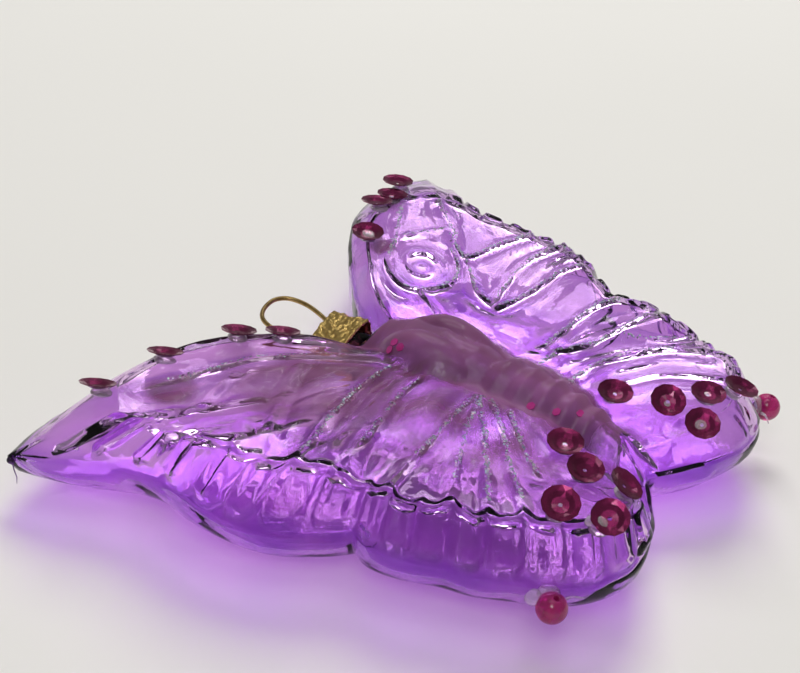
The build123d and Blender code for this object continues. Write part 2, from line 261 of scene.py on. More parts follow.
HIND_MARGIN = [
    (42.9, -8.7, 0.91, 16.4, 15.8, 8.6, 8.2), (44.8, -12.3, 0.86, 17.0, 16.4, 8.4, 8.2),
    (44.0, -17.7, 0.92, 16.0, 17.2, 8.2, 8.2), (41.5, -23.2, 0.87, 18.0, 17.0, 8.2, 8.0),
    (40.2, -28.2, 0.91, 16.2, 17.6, 8.2, 8.0), (37.0, -34.2, 0.87, 17.8, 17.2, 8.2, 8.0),
    (34.0, -39.4, 0.89, 17.8, 17.2, 8.4, 8.0), (29.5, -43.4, 0.87, 17.4, 16.4, 8.6, 8.0),
    (22.5, -45.7, 0.88, 16.0, 15.6, 8.8, 8.4), (13.0, -43.6, 0.86, 13.6, 13.8, 9.0, 8.8),
    (5.8, -39.8, 0.84, 11.4, 11.6, 9.0, 9.0), (0.0, -36.6, 0.82, 10.4, 10.4, 9.0, 9.0),
]
RIM_HALF = 1.3
# Where the ribs between the panes below the ridge reach the edge, on the left wing; the right mirrors them.
RIBS = [
    (-59.0, 39.5), (-56.0, 33.0), (-53.4, 27.0), (-52.5, 20.5), (-53.3, 14.0), (-53.8, 8.5),
    (-52.6, 3.0), (-48.6, -3.6), (-43.2, -9.0), (-45.0, -13.6), (-43.4, -19.0), (-41.2, -24.0),
    (-39.8, -29.0), (-36.8, -34.6), (-33.4, -39.8), (-28.4, -44.0), (-22.0, -45.7), (-14.0, -44.0),
]
VEINS = {
    "left": {
        "leading": [(-38.7, 34.7), (-30.4, 30.3), (-20.8, 25.6), (-14.1, 16.2), (-8.0, 6.5)],
        "fore_1": [(-47.2, 22.7), (-41.0, 23.8), (-34.8, 24.8), (-27.3, 25.7)],
        "fore_2": [(-45.4, 7.4), (-36.5, 11.8), (-28.1, 15.5), (-19.3, 18.5)],
        "fore_3": [
            (-45.5, 1.5), (-37.8, 3.0), (-30.4, 5.2), (-23.9, 6.5), (-17.4, 7.1), (-12.4, 6.6), (-6.8, 5.3),
        ],
        "fore_4": [(-42.5, -6.0), (-32.2, -2.3), (-24.9, -0.8), (-17.6, 0.6), (-7.8, 0.9)],
        "wing_fold": [(-40.2, -11.8), (-35.9, -10.8), (-24.4, -9.7), (-15.6, -8.8), (-7.9, -8.5)],
        "hind_1": [(-38.8, -21.2), (-27.3, -16.5), (-16.7, -11.9), (-8.0, -9.3)],
        "hind_2": [(-36.5, -27.0), (-23.1, -19.1), (-9.0, -9.5)],
        "hind_3": [(-32.1, -30.8), (-22.9, -23.4), (-16.4, -18.4), (-8.0, -11.0)],
        "hind_4": [(-20.3, -26.3), (-14.8, -20.2), (-7.2, -13.7)],
    },
    "right": {
        "cell": [(29.4, 30.7), (36.3, 26.2), (37.6, 24.9), (33.4, 21.1), (31.7, 18.3)],
        "short": [(44.7, 32.1), (37.6, 24.9)],
        "leading": [(45.1, 39.1), (34.4, 34.4), (28.9, 31.3), (21.7, 28.3)],
        "arc": [(15.5, 17.4), (10.5, 11.2), (5.5, 5.1)],
        "fore_1": [(31.7, 18.3), (33.3, 16.7), (40.3, 15.3), (46.9, 12.1)],
        "fore_2": [(30.8, 16.9), (22.2, 9.0), (20.6, 6.0)],
        "fore_3": [(21.8, 5.7), (35.2, 8.1), (42.8, 7.0), (47.7, 3.9)],
        "fore_4": [(20.5, 3.9), (33.3, 1.8), (39.4, -0.1), (43.1, -2.7)],
        "wing_fold": [(14.0, -8.8), (32.4, -8.9), (37.1, -11.2)],
        "hind_1": [(15.6, -12.8), (28.3, -16.4), (35.9, -17.2)],
        "hind_2": [(27.1, -17.6), (30.9, -22.5), (34.3, -26.7)],
        "hind_3": [(6.8, -17.5), (18.0, -19.2), (26.0, -24.8), (30.0, -31.5)],
        "hind_4": [(14.4, -24.8), (19.2, -28.1), (22.8, -33.8), (24.0, -37.0)],
        "root": [(7.5, -11.4), (14.4, -11.5)],
    },
}
# The right wing's eyespot is an oval: middle, the way its long axis runs, and its half axes.
EYESPOT = np.array([24.2, 22.5])
EYESPOT_WAY = np.array([0.846, 0.532])
EYESPOT_HALF = (9.4, 6.6)
# The wings' backs beside the body, and what the ridge's rise is counted from.
CROWN_Z = 17.4
RIDGE_FROM_Z = 17.2
# How far the scalloped ridge steps out between two ribs, as a share of the way to the edge.
SCALLOP = 0.026
PANE_RISE = 2.3
RIGHT_PANES = 0.4
# The belly from the rim down and in to the middle: share of the way out, and share of the rim's height.
BELLY = [
    (1.0, 1.0), (1.0, 0.98), (0.994, 0.80), (0.965, 0.56), (0.89, 0.31), (0.74, 0.08), (0.5, 0.0), (0.0, 0.0),
]
BELLY_SIZE = (45, 8)
WALL = 1.0
# Points round the edge, and rings on the crown, the band and the belly.
OUTER_AROUND, OUTER_ROWS = 600, (78, 34, 16)
INNER_AROUND, INNER_ROWS = 280, (40, 16, 12)
# How much of the back's relief the inside of the wall shows.
INNER_RELIEF = 0.55
# Body: place along Y and radius, turned about the line x = 0 at this height.
BODY_Z = 12.6
BODY = [
    (19.65, 2.9), (16.7, 5.33), (13.7, 6.0), (10.0, 7.6), (3.4, 8.6), (-3.5, 7.8), (-6.8, 6.45), (-9.1, 7.6),
    (-11.4, 7.05), (-13.6, 7.75), (-15.8, 6.8), (-17.8, 7.3), (-19.9, 6.05), (-21.9, 6.45), (-23.8, 5.1),
    (-25.8, 5.35), (-27.9, 4.0), (-32.0, 3.1), (-36.6, 1.2),
]


# The glass

def wing_edge(count, side):
    """One wing's edge from neck to tail at count points: x, y, ridge share, ridge height, edge height."""
    columns = (0, 1, 2, 3, 5) if side > 0 else (0, 1, 2, 4, 6)
    parts = []
    for rows, share in ((LEADING, 0.30), (FORE_MARGIN, 0.32), (HIND_MARGIN, 0.38)):
        parts.append(spline(np.asarray(rows)[:, columns], int(count * share) + 1)[:-1])
    parts.append(np.asarray(HIND_MARGIN[-1:])[:, columns])
    edge = np.concatenate(parts)
    edge[:, 0] *= side
    return edge


def body_height(x, y):
    """Height of the body's back over a plan point, with the thorax's two swells beside its furrow."""
    rows = np.asarray(BODY)[::-1]
    radius = np.interp(y, rows[:, 0], rows[:, 1], left=0, right=0)
    height = BODY_Z + np.sqrt(np.maximum(radius**2 - x**2, 0))
    middle, half, rise, offset, lift = 3.54, 10.2, 5.33, 3.61, 3.6
    sag = (half**2 + rise**2) / (2 * rise)
    swell = np.sqrt(np.maximum(sag**2 - (y - middle) ** 2, 0)) - (sag - rise)
    for side in (-1, 1):
        aside = np.abs(x - side * offset)
        over = np.sqrt(np.maximum(np.maximum(swell, 0) ** 2 - aside**2, 0))
        height = np.maximum(height, np.where(aside < swell, BODY_Z + lift + over, 0))
    return height


def soft_max(a, b, blend):
    """The larger of two heights with a fillet of about blend between them."""
    h = np.clip(0.5 + 0.5 * (b - a) / blend, 0, 1)
    return a * (1 - h) + b * h + blend * h * (1 - h)


def vein_distance(plan):
    """Plan distance from each point to the nearest vein or eyespot ring."""
    nearest = np.full(len(plan), 1e9)
    for runs in VEINS.values():
        for run in runs.values():
            nearest = np.minimum(nearest, line_distance(plan, spline(run, 12) if len(run) > 2 else run))
    offset = plan - EYESPOT
    along = offset @ EYESPOT_WAY / EYESPOT_HALF[0]
    across = offset @ np.array([-EYESPOT_WAY[1], EYESPOT_WAY[0]]) / EYESPOT_HALF[1]
    oval = np.hypot(along, across)
    for ring in (1.0, 0.42):
        nearest = np.minimum(nearest, np.abs(oval - ring) * sum(EYESPOT_HALF) / 2)
    return nearest


def relief(plan, fine):
    """Height that veins, the grooves beside them and the pillows between them add to the wings."""
    gap = vein_distance(plan)
    added = 0.62 * bell(gap, 0.80) - 0.34 * bell(gap - 1.9, 0.9) + 0.45 * np.clip(gap / 4.0, 0, 1) ** 0.8
    return added * smooth_step(np.abs(plan[:, 0]), 6.5, 10.5) * fine


def rib_phase(edge):
    """How far each edge point lies between its neighbouring ribs, 0 to 1, and where panes may be."""
    plan = edge[:, :2]
    places = []
    for rib in RIBS:
        for side in (-1, 1):
            places.append(np.argmin(np.linalg.norm(plan - (side * -rib[0], rib[1]), axis=1)))
    places = np.sort(places)
    phase = np.interp(np.arange(len(plan)), places, np.arange(len(places)))
    has_panes = smooth_step(-plan[:, 1], -40.0, -36.0) * smooth_step(np.abs(plan[:, 0]), 12.0, 18.0)
    has_panes *= np.where((plan[:, 1] > 20) & (np.abs(plan[:, 0]) < 52), 0, 1)
    has_panes *= np.where(plan[:, 0] > 0, RIGHT_PANES, 1)
    return phase - np.floor(phase), has_panes


def glass_surface(around, rows, fine):
    """The whole outer form as a grid of rings, from the crown's pole to the belly's.

    Ring k at edge point i stands at middle + (edge point - middle) * share, at a height read from a
    profile of the steps crown, ridge, band, rim and belly. Returns the points and how much deeper the
    violet is made at each: 1 at the rim, less in the ribs between the panes, where it is painted shade,
    0 elsewhere. rows holds the counts of crown, band and belly rings, and fine the share of the relief
    that is shown.
    """
    right, left = wing_edge(around // 2, 1), wing_edge(around // 2, -1)
    edge = np.concatenate([right, left[-2:0:-1]])
    plan, ridge_z, edge_z = edge[:, :2], edge[:, 3], edge[:, 4]
    cell, has_panes = rib_phase(edge)
    ridge_share = edge[:, 2] + SCALLOP * (4 * cell * (1 - cell) - 0.5) * has_panes * (plan[:, 0] < 0)
    out = plan - MIDDLE
    unit = out / np.linalg.norm(out, axis=1)[:, None]
    ones = np.ones(len(edge))
    rings, rim = [], []
    for a in np.linspace(0, 1, rows[0]) ** 0.9:
        xy = MIDDLE + out * (ridge_share * a)[:, None]
        z = CROWN_Z + 0.3 * a + (ridge_z - RIDGE_FROM_Z) * smooth_step(ones * a, 0.45, 1.0)
        z = z - 0.9 * bell(a - 0.62, 0.2) + relief(xy, fine) + 0.35 * bell((1 - a) * 30, 2.2) * fine
        rings.append(np.column_stack([xy, soft_max(z, body_height(xy[:, 0], xy[:, 1]), 1.0)]))
        rim.append(0 * ones)
    top = rings[-1]
    for b in np.linspace(0, 1, rows[1] + 1)[1:]:
        xy = top[:, :2] * (1 - b) + plan * b
        drop = b**1.3
        z = top[:, 2] * (1 - drop) + (edge_z + RIM_HALF) * drop
        corner = (np.abs(2 * cell - 1) ** 4 + abs((b - 0.50) / 0.44) ** 4) ** 0.25
        pane = (1 - smooth_step(corner, 0.68, 0.98)) * has_panes
        groove = bell(b - 0.07, 0.06)
        bulge = (PANE_RISE * pane - 0.25 * math.sin(math.pi * b) * has_panes - 0.12 * groove) * fine
        rings.append(np.column_stack([xy + unit * (bulge * 0.7)[:, None], z + bulge * 0.7]))
        # The ribs between the panes are made a deeper violet: painted shade in the grooves.
        rim.append(smooth_step(b * ones, 0.78, 1.0) + 0.25 * (has_panes - pane) * math.sin(math.pi * b))
    profile = spline(np.asarray(BELLY) * BELLY_SIZE, 400) / BELLY_SIZE
    steps = np.diff(profile, axis=0) * BELLY_SIZE
    run = np.concatenate([[0], np.cumsum(np.hypot(steps[:, 0], steps[:, 1]))])
    for c in (np.linspace(0, 1, rows[2] + 1)[1:]) ** 1.6:
        share = np.interp(c * run[-1], run, profile[:, 0])
        level = np.interp(c * run[-1], run, profile[:, 1])
        z = max(level, 0) * (edge_z + RIM_HALF)
        rings.append(np.column_stack([MIDDLE + out * share, z]))
        rim.append(1 - smooth_step(c * ones, 0.0, 0.14))
    return np.stack(rings), np.array(rim)


def grid_normals(grid):
    """Unit normals of a ring grid, by the differences of its neighbours, pointing out of the glass."""
    around = np.roll(grid, -1, 1) - np.roll(grid, 1, 1)
    across = np.gradient(grid, axis=0)
    normal = np.cross(around, across)
    size = np.linalg.norm(normal, axis=2, keepdims=True)
    normal = np.where(size > 1e-9, normal / np.maximum(size, 1e-9), 0)
    normal[0], normal[-1] = (0, 0, 1), (0, 0, -1)
    return normal


def deep_tint(grid, rim):
    """How much deeper the violet is at each point.

    It deepens at the rim, in a blob by the left margin, at the left tip, low down and on the right wing.
    Along the ribs between the panes and over the whole right wing, the deeper violet is painted shade.
    """
    flat = grid.reshape(-1, 3)
    patches = 0.5 + 0.5 * np.clip(waves(flat, 8, 14, 30, 11), -1, 1)
    deep = rim.reshape(-1) * (0.55 + 0.45 * patches)
    from_blob = np.linalg.norm(flat[:, :2] - (-50.2, 0.5), axis=1)
    deep = deep + 0.9 * bell(from_blob, 4.0) * (flat[:, 2] < 13)
    low_down = smooth_step(-flat[:, 2], -16.0, -9.0)
    deep = deep + 0.5 * smooth_step(-flat[:, 0], 50.0, 60.0) + 0.25 * patches * low_down
    # Painted shade: the whole right wing is made a deeper violet than the left.
    deep = deep + 0.30 * smooth_step(flat[:, 0], 8.0, 16.0)
    return np.clip(deep, 0, 1).reshape(grid.shape[:2])[:, :, None]


outer, rim = glass_surface(OUTER_AROUND, OUTER_ROWS, 1.0)
flat_points = outer.reshape(-1, 3)
ripple = 0.13 * waves(flat_points, 24, 7, 15, 3) + 0.03 * waves(flat_points, 24, 3.0, 6, 4)
on_back = smooth_step(flat_points[:, 2], 3.0, 9.0)
outer_normals = grid_normals(outer)
outer = outer + outer_normals * (ripple * on_back).reshape(outer.shape[:2])[:, :, None]
inner, inner_rim = glass_surface(INNER_AROUND, INNER_ROWS, INNER_RELIEF)
inner_ripple = 0.12 * waves(inner.reshape(-1, 3), 24, 6, 14, 5).reshape(inner.shape[:2])[:, :, None]
inner = inner + grid_normals(inner) * (inner_ripple - WALL)

outer_points, inner_points = closed_grid(outer), closed_grid(inner)
outer_faces = ring_faces(outer.shape[0] - 2, outer.shape[1])
inner_faces = ring_faces(inner.shape[0] - 2, inner.shape[1], start=len(outer_points), flip=True)
glass = new_mesh("glass_butterfly", np.concatenate([outer_points, inner_points]), outer_faces + inner_faces)
deep_values = [closed_grid(deep_tint(outer, rim)), closed_grid(deep_tint(inner, inner_rim))]
add_attribute(glass, "deep", np.concatenate(deep_values)[:, 0])
dress(glass, "butterfly", "violet_glass", "glass_shell")
skin = BVHTree.FromPolygons((outer_points * MM).tolist(), outer_faces)


def seat(x, y):
    """The point of the glass's back over a plan point, and the way out of the glass there, millimetres."""
    point, normal, _, _ = skin.ray_cast(Vector((x * MM, y * MM, 0.05)), Vector((0, 0, -1)))
    return np.array(point) / MM, np.array(normal)


# Lacquer: a thin film of mauve paint over the body, the near wing's root and a few patches

# Patches of lacquer: plan place, size, and how thickly they cover.
PATCHES = [
    (-35.9, 31.4, 4.4, 0.85), (23.5, 32.0, 3.4, 0.6), (2.0, -31.0, 4.5, 0.55), (-3.0, -35.0, 4.0, 0.4),
    (38.0, 41.0, 5.0, 0.35), (-8.0, 13.0, 6.0, 0.7), (-24.0, 24.0, 6.0, 0.25),
]


def lacquer_cover(points):
    """How much lacquer lies on each point, 0 to 1: the body whole, the near wing's root by a fading cloud."""
    x, y = points[:, 0], points[:, 1]
    rows = np.asarray(BODY)[::-1]
    radius = np.interp(y, rows[:, 0], rows[:, 1], left=2.0, right=1.0)
    cover = 0.92 * (1 - smooth_step(np.abs(x) / (radius + 0.6), 0.82, 1.12)) * smooth_step(y, -33.0, -24.0)
    cloud = 0.75 + 0.35 * waves(points, 12, 5, 12, 8)
    root = 0.72 * bell(np.hypot((x + 11.0) / 18.0, (y + 10.0) / 25.0), 1.0) * (x < 0)
    fore = 0.50 * bell(np.hypot((x + 23.0) / 15.0, (y - 18.0) / 13.0), 1.0) * (x < 0)
    patches = np.zeros(len(x))
    for across, along, size, amount in PATCHES:
        away = np.hypot(x - across, y - along)
        patches = np.maximum(patches, amount * (1 - smooth_step(away, size * 0.6, size * 1.2)))
    return np.clip(np.maximum(cover, np.maximum((root + fore) * cloud, patches * cloud)), 0, 0.80)


def film(points, normals, faces, low, high):
    """A closed film over some faces of a surface: both skins, and a wall along their edge."""
    used = np.unique(np.concatenate([np.asarray(face) for face in faces]))
    number = {int(v): k for k, v in enumerate(used)}
    count = len(used)
    top_faces = [[number[v] for v in face] for face in faces]
    edges = {(a, b) for face in top_faces for a, b in zip(face, face[1:] + face[:1])}
    walls = [[b, a, a + count, b + count] for a, b in edges if (b, a) not in edges]
    under = [[v + count for v in reversed(face)] for face in top_faces]
    skins = [points[used] + normals[used] * high, points[used] + normals[used] * low]
    return np.concatenate(skins), top_faces + under + walls, used


cover = lacquer_cover(outer_points)
crown_points = 1 + (OUTER_ROWS[0] - 1) * OUTER_AROUND
cover[crown_points:] = 0
lacquered = [face for face in outer_faces if cover[face].min() > 0.02]
film_points, film_faces, film_used = film(outer_points, closed_grid(outer_normals), lacquered, 0.015, 0.05)
lacquer = new_mesh("mauve_lacquer", film_points, film_faces)
add_attribute(lacquer, "cover", np.tile(cover[film_used], 2))
dress(lacquer, "butterfly", "violet_glass")


# Neck, cap and wire

NECK_Z = 11.2
NECK_AXES = np.array([[1.0, 0, 0], [0, 0, -1.0], [0, 1.0, 0]])
NECK_PROFILE = [(2.2, 17.6), (3.0, 17.6), (3.0, 25.5), (2.75, 25.8), (2.4, 25.8), (2.2, 25.5)]
neck = new_mesh("glass_neck", *lathe(NECK_PROFILE, 40, np.array([0, 0, NECK_Z]), NECK_AXES))
dress(neck, "butterfly", "violet_glass")

CAP_TURN = math.radians(-19)
CAP_TOP, CAP_LENGTH = 26.3, 6.6


def cap_surface(grow, around=112, along=34):
    """The crinkled cap as a grid: a rounded square that flares to the skirt, creased by folded waves."""
    turn = np.linspace(0, 2 * math.pi, around, endpoint=False)
    rings = []
    for v in np.linspace(0, 1, along):
        half = 3.6 + 0.8 * v**1.3 + grow
        square = half / (np.abs(np.cos(turn)) ** 5 + np.abs(np.sin(turn)) ** 5) ** 0.2
        x, z = square * np.cos(turn - CAP_TURN), square * np.sin(turn - CAP_TURN)
        y = np.full(around, CAP_TOP + min(grow, 0) - v * CAP_LENGTH)
        rings.append(np.stack([x, y, z + NECK_Z], 1))
    flat = np.stack(rings).reshape(-1, 3)
    crease = np.zeros(len(flat))
    for k, (low, high, size) in enumerate(((1.6, 3.2, 0.17), (0.8, 1.5, 0.09))):
        crease += size * (1 - 2 * np.abs(waves(flat, 7, low, high, 20 + k)))
    out = (flat - (0, 0, NECK_Z)) * (1, 0, 1)
    out /= np.linalg.norm(out, axis=1)[:, None]
    return (flat + out * np.clip(crease, -0.24, 0.22)[:, None]).reshape(along, around, 3)


def shrunk(ring, share):
    """A ring of the cap drawn in towards its axis."""
    middle = np.array([0, 0, NECK_Z])
    return middle + (ring - middle) * np.array([share, 1, share])


def cap_mesh():
    """Flat crinkled top, outer skin, skirt edge, inner skin and the underside of the top, closed."""
    outside, inside = cap_surface(0), cap_surface(-0.3)
    top = []
    for share, lift in ((0.3, 0.25), (0.62, 0.25), (0.86, 0.2), (0.96, 0.12)):
        ring = shrunk(outside[0], share)
        ring[:, 1] += lift + 0.12 * waves(ring, 7, 1.5, 3, 31)
        top.append(ring)
    under = [shrunk(inside[0], 0.86), shrunk(inside[0], 0.5)]
    rings = np.concatenate([np.stack(top), outside, inside[::-1], np.stack(under)])
    points = np.concatenate([rings[0].mean(0)[None], rings.reshape(-1, 3), rings[-1].mean(0)[None]])
    return points, ring_faces(len(rings), outside.shape[1], flip=True)


cap = new_mesh("gold_cap", *cap_mesh())
dress(cap, "cap", "gold_foil_cap", "hanger_cap")

WIRE_PATH = [
    (-1.43, 17.4, 0), (-1.43, 22.0, 0), (-1.6, 26.4, 0), (-3.0, 28.6, 0), (-4.0, 31.1, 0), (-4.7, 33.9, 0.1),
    (-3.8, 36.9, 0.2), (-2.3, 38.5, 0.3), (0.5, 39.7, 0.4), (3.4, 39.8, 0.5), (5.3, 38.4, 0.5),
    (5.9, 35.1, 0.4), (4.8, 31.0, 0.3), (3.6, 28.5, 0.2), (1.8, 26.4, 0), (1.43, 22.0, 0), (1.43, 17.4, 0),
]
wire_path = spline(WIRE_PATH, 130) + (0, 0, NECK_Z)
wire = new_mesh("gold_wire_loop", *tube(wire_path, 0.42, 14))
dress(wire, "wire", "gold_wire", "hanger_wire")


# Sequins, glue, beads, confetti and glitter

# Rows: plan place, and the x and y parts of the way that the cup faces, beside 1 upwards.
SEQUIN_PLACES = {
    "left_forewing": [
        (-44.0, 39.0, 0.30, 0.17), (-31.5, 36.7, 0.28, 0.16), (-19.9, 30.8, 0.22, 0.12),
        (-14.8, 25.5, 0.25, 0.14),
    ],
    "left_hindwing": [
        (-11.2, -26.0, -0.17, -0.10), (-16.1, -32.0, -0.22, -0.20), (-29.3, -34.6, -0.46, -0.26),
        (-26.5, -39.8, -0.56, -0.32), (-15.1, -38.4, 0.15, -0.55),
    ],
    "right_forewing": [
        (45.0, 41.0, 0.05, 0.03), (39.5, 39.3, 0.10, 0.05), (34.1, 38.8, 0.10, 0.10),
        (23.5, 34.3, -0.10, -0.06),
    ],
    "right_hindwing": [
        (8.7, -24.8, -0.15, -0.09), (13.0, -32.5, -0.50, -0.28), (12.9, -39.0, -0.45, -0.25),
        (18.3, -37.3, -0.12, -0.07), (21.8, -40.2, 0.10, -0.20),
    ],
}


def sequin_points(facets=12):
    """A faceted cup: hole edge, floor edge, walls folded between facets, and the same underneath."""
    turn = np.arange(facets) * 2 * math.pi / facets
    between = turn + math.pi / facets
    rings = []
    steps = ((0.34, turn, 0.0), (1.35, turn, 0.04), (2.15, between, 0.47), (3.0, turn, 0.72))
    for radius, angle, height in steps:
        rings.append(np.stack([radius * np.cos(angle), radius * np.sin(angle), np.full(facets, height)], 1))
    i = np.arange(facets)
    j = (i + 1) % facets
    hole, floor_edge, fold, brim = i, facets + i, 2 * facets + i, 3 * facets + i
    upper = np.column_stack([hole, floor_edge, facets + j, j]).tolist()
    upper += np.column_stack([floor_edge, fold, facets + j]).tolist()
    upper += np.column_stack([facets + j, fold, 2 * facets + j]).tolist()
    upper += np.column_stack([fold, brim, 3 * facets + j]).tolist()
    upper += np.column_stack([fold, 3 * facets + j, 2 * facets + j]).tolist()
    top = np.concatenate(rings)
    count = len(top)
    under = [[count + v for v in reversed(face)] for face in upper]
    outer_wall = np.column_stack([brim, count + brim, count + 3 * facets + j, 3 * facets + j]).tolist()
    hole_wall = np.column_stack([hole, j, count + j, count + hole]).tolist()
    return np.concatenate([top, top - (0, 0, 0.14)]), upper + under + outer_wall + hole_wall


cup_points, cup_faces = sequin_points()
glue_seats = {"left": [], "right": []}
for group, rows in SEQUIN_PLACES.items():
    for number, (x, y, face_x, face_y) in enumerate(rows, start=1):
        point, normal = seat(x, y)
        axes = upright_frame((face_x, face_y, 1), rng.uniform(0, 6))
        lift = normal * (0.6 + 1.6 * math.sqrt(max(0, 1 - (axes[2] @ normal) ** 2)))
        item = new_mesh(f"cup_{group}_{number}", cup_points @ axes + point + lift, cup_faces, smooth=False)
        dress(item, "butterfly", "crimson_sequin", f"sequin_{group}_{number}")
        glue_seats[group.split("_")[0]].append((point, axes))

for side, seats in glue_seats.items():
    shapes = []
    for number, (point, axes) in enumerate(seats):
        shapes.append(blob(point + axes[2] * 0.2, axes, (1.9, 1.7, 0.7), 40 + number))
    item = new_mesh(f"glue_dabs_{side}", *joined(shapes))
    dress(item, "butterfly", "glitter_glue", f"sequin_glue_{side}")

BEADS = {"left": (-36.6, -39.3, 8.0), "right": (37.0, -42.0, 8.6)}
BEAD_ARC = [(2.4 * math.cos(t), 2.4 * math.sin(t)) for t in np.linspace(-1.37, 1.37, 22)]
for side, place in BEADS.items():
    sign = -1 if side == "left" else 1
    centre = np.array(place)
    lean = upright_frame((0.12 * sign, -0.25, 0.96))
    item = new_mesh(f"glass_bead_{side}", *lathe(BEAD_ARC + [(0.45, 2.3), (0.45, -2.3)], 36, centre, lean))
    dress(item, "butterfly", "crimson_bead", f"tail_bead_{side}")
    inwards = np.array([-place[0], MIDDLE[1] - place[1], 0.0])
    inwards /= np.linalg.norm(inwards)
    beside = np.array([inwards[1], -inwards[0], 0.0]) * sign
    thread_start = centre + inwards * 1.6 - beside * 2.0
    thread_middle = thread_start - beside * 1.6 + (0, 0, 0.5)
    thread_end = thread_start - beside * 3.4 + (0, 0, 0.1)
    thread = [thread_start, thread_middle, thread_end]
    glue = [
        blob(centre + inwards * 2.5 + (0, 0, 0.4), np.eye(3), (1.9, 1.8, 1.5), 61),
        blob(centre + inwards * 2.0 + beside * 2.2 + (0, 0, 0.6), np.eye(3), (1.5, 1.3, 1.0), 62),
        tube(spline(thread, 14), np.linspace(0.3, 0.08, 14), 8),
    ]
    item = new_mesh(f"clear_glue_{side}", *joined(glue))
    dress(item, "butterfly", "clear_glue", f"bead_glue_{side}")

CONFETTI = {
    "eye_confetti_left": [(-6.3, 8.9), (-7.2, 9.1), (-7.0, 7.3)],
    "eye_confetti_right": [(6.3, 8.9), (7.2, 9.1), (7.0, 7.3)],
    "abdomen_confetti": [(-5.1, -16.7), (-3.8, -20.7), (-1.5, -23.7)],
}
for name, places in CONFETTI.items():
    shapes = []
    for number, (x, y) in enumerate(places):
        point, normal = seat(x, y)
        shapes.append(flake(point + normal * 0.08, upright_frame(normal, number * 1.1), 0.78, 0.1))
    item = new_mesh(f"flakes_{name}", *joined(shapes), smooth=False)
    dress(item, "butterfly", "pink_confetti", name)

# Which stretch of each vein carries glitter, from its first point to its last, and how thickly.
GLITTER_RUNS = {
    "left": [
        ("fore_3", 0.1, 0.9, 5), ("fore_4", 0.3, 0.9, 3), ("wing_fold", 0.35, 1.0, 5),
        ("hind_1", 0.25, 1.0, 6), ("hind_2", 0.1, 1.0, 7), ("hind_3", 0.1, 1.0, 7),
        ("hind_4", 0.0, 0.9, 7), ("leading", 0.1, 0.8, 3),
    ],
    "right": [
        ("leading", 0, 1, 7), ("cell", 0, 1, 6), ("short", 0, 1, 5), ("fore_1", 0, 1, 7),
        ("fore_2", 0, 1, 5), ("fore_3", 0, 1, 7), ("fore_4", 0, 1, 6), ("wing_fold", 0, 1, 8),
        ("hind_1", 0, 1, 7), ("hind_2", 0, 1, 5), ("hind_3", 0, 0.8, 6), ("root", 0, 1, 7),
    ],
}


def glitter_flakes(line, density):
    """Fine flakes scattered along a line of plan points, lying on the glass at small random tilts."""
    count = int(np.linalg.norm(np.diff(line, axis=0), axis=1).sum() * density)
    shapes = []
    for row in rng.integers(0, len(line), count):
        x, y = line[row] + rng.normal(0, 0.22, 2)
        point, normal = seat(x, y)
        tilted = upright_frame(normal + rng.normal(0, 0.34, 3), rng.uniform(0, 6))
        shapes.append(flake(point + normal * 0.08, tilted, rng.uniform(0.09, 0.22), 0.03))
    return shapes


eyespot_turn = np.linspace(2.6, 5.4, 60)[:, None]
eyespot_side = np.array([-EYESPOT_WAY[1], EYESPOT_WAY[0]])
along = EYESPOT_HALF[0] * np.cos(eyespot_turn) * EYESPOT_WAY
across = EYESPOT_HALF[1] * np.sin(eyespot_turn) * eyespot_side
eyespot_arc = EYESPOT + along + across
for side, runs in GLITTER_RUNS.items():
    shapes = [] if side == "left" else glitter_flakes(eyespot_arc, 6)
    for name, low, high, density in runs:
        line = spline(VEINS[side][name], 200)[int(low * 199):int(high * 199) + 1]
        shapes += glitter_flakes(line, density)
    item = new_mesh(f"glitter_{side}", *joined(shapes), smooth=False)
    add_attribute(item, "tint", np.repeat(rng.uniform(size=len(shapes)), 12))
    dress(item, "butterfly", "silver_glitter", f"vein_glitter_{side}")


# The left forewing's tip: the pip where the glass was drawn off, and a hair of it

TIP_HAIR = [(-59.9, 42.7, 7.4), (-60.3, 42.0, 6.6), (-60.2, 41.5, 5.4), (-60.4, 41.3, 4.4)]
pip = [
    blob(np.array([-59.7, 43.2, 7.6]), np.eye(3), (0.8, 0.7, 0.6), 71),
    tube(TIP_HAIR, [0.12, 0.1, 0.08, 0.05], 8),
]
tip = new_mesh("glass_tip_pip", *joined(pip))
dress(tip, "butterfly", "violet_glass")


# Materials

def material(name):
    """A new node material: itself, its node tree and its Principled BSDF."""
    made = bpy.data.materials.new(name)
    made.use_nodes = True
    return made, made.node_tree, made.node_tree.nodes["Principled BSDF"]


def constants(surface, **values):
    """Set plain values on a shader's inputs, with _ for the spaces in their names."""
    for name, value in values.items():
        surface.inputs[name.replace("_", " ")].default_value = value


def node(tree, kind, links=(), **values):
    """A node with its properties and inputs set, and its inputs linked from other sockets."""
    made = tree.nodes.new(kind)
    for name, value in values.items():
        if hasattr(made, name):
            setattr(made, name, value)
        else:
            made.inputs[name.replace("_", " ")].default_value = value
    for socket, source in dict(links).items():
        tree.links.new(source, made.inputs[socket])
    return made


def ramp(tree, source, stops):
    """A colour ramp fed by source, with (place, colour) stops."""
    made = tree.nodes.new("ShaderNodeValToRGB")
    tree.links.new(source, made.inputs[0])
    elements = made.color_ramp.elements
    while len(elements) < len(stops):
        elements.new(0.5)
    for element, (place, colour) in zip(elements, stops):
        element.position = place
        element.color = (*colour, 1)
    return made.outputs[0]


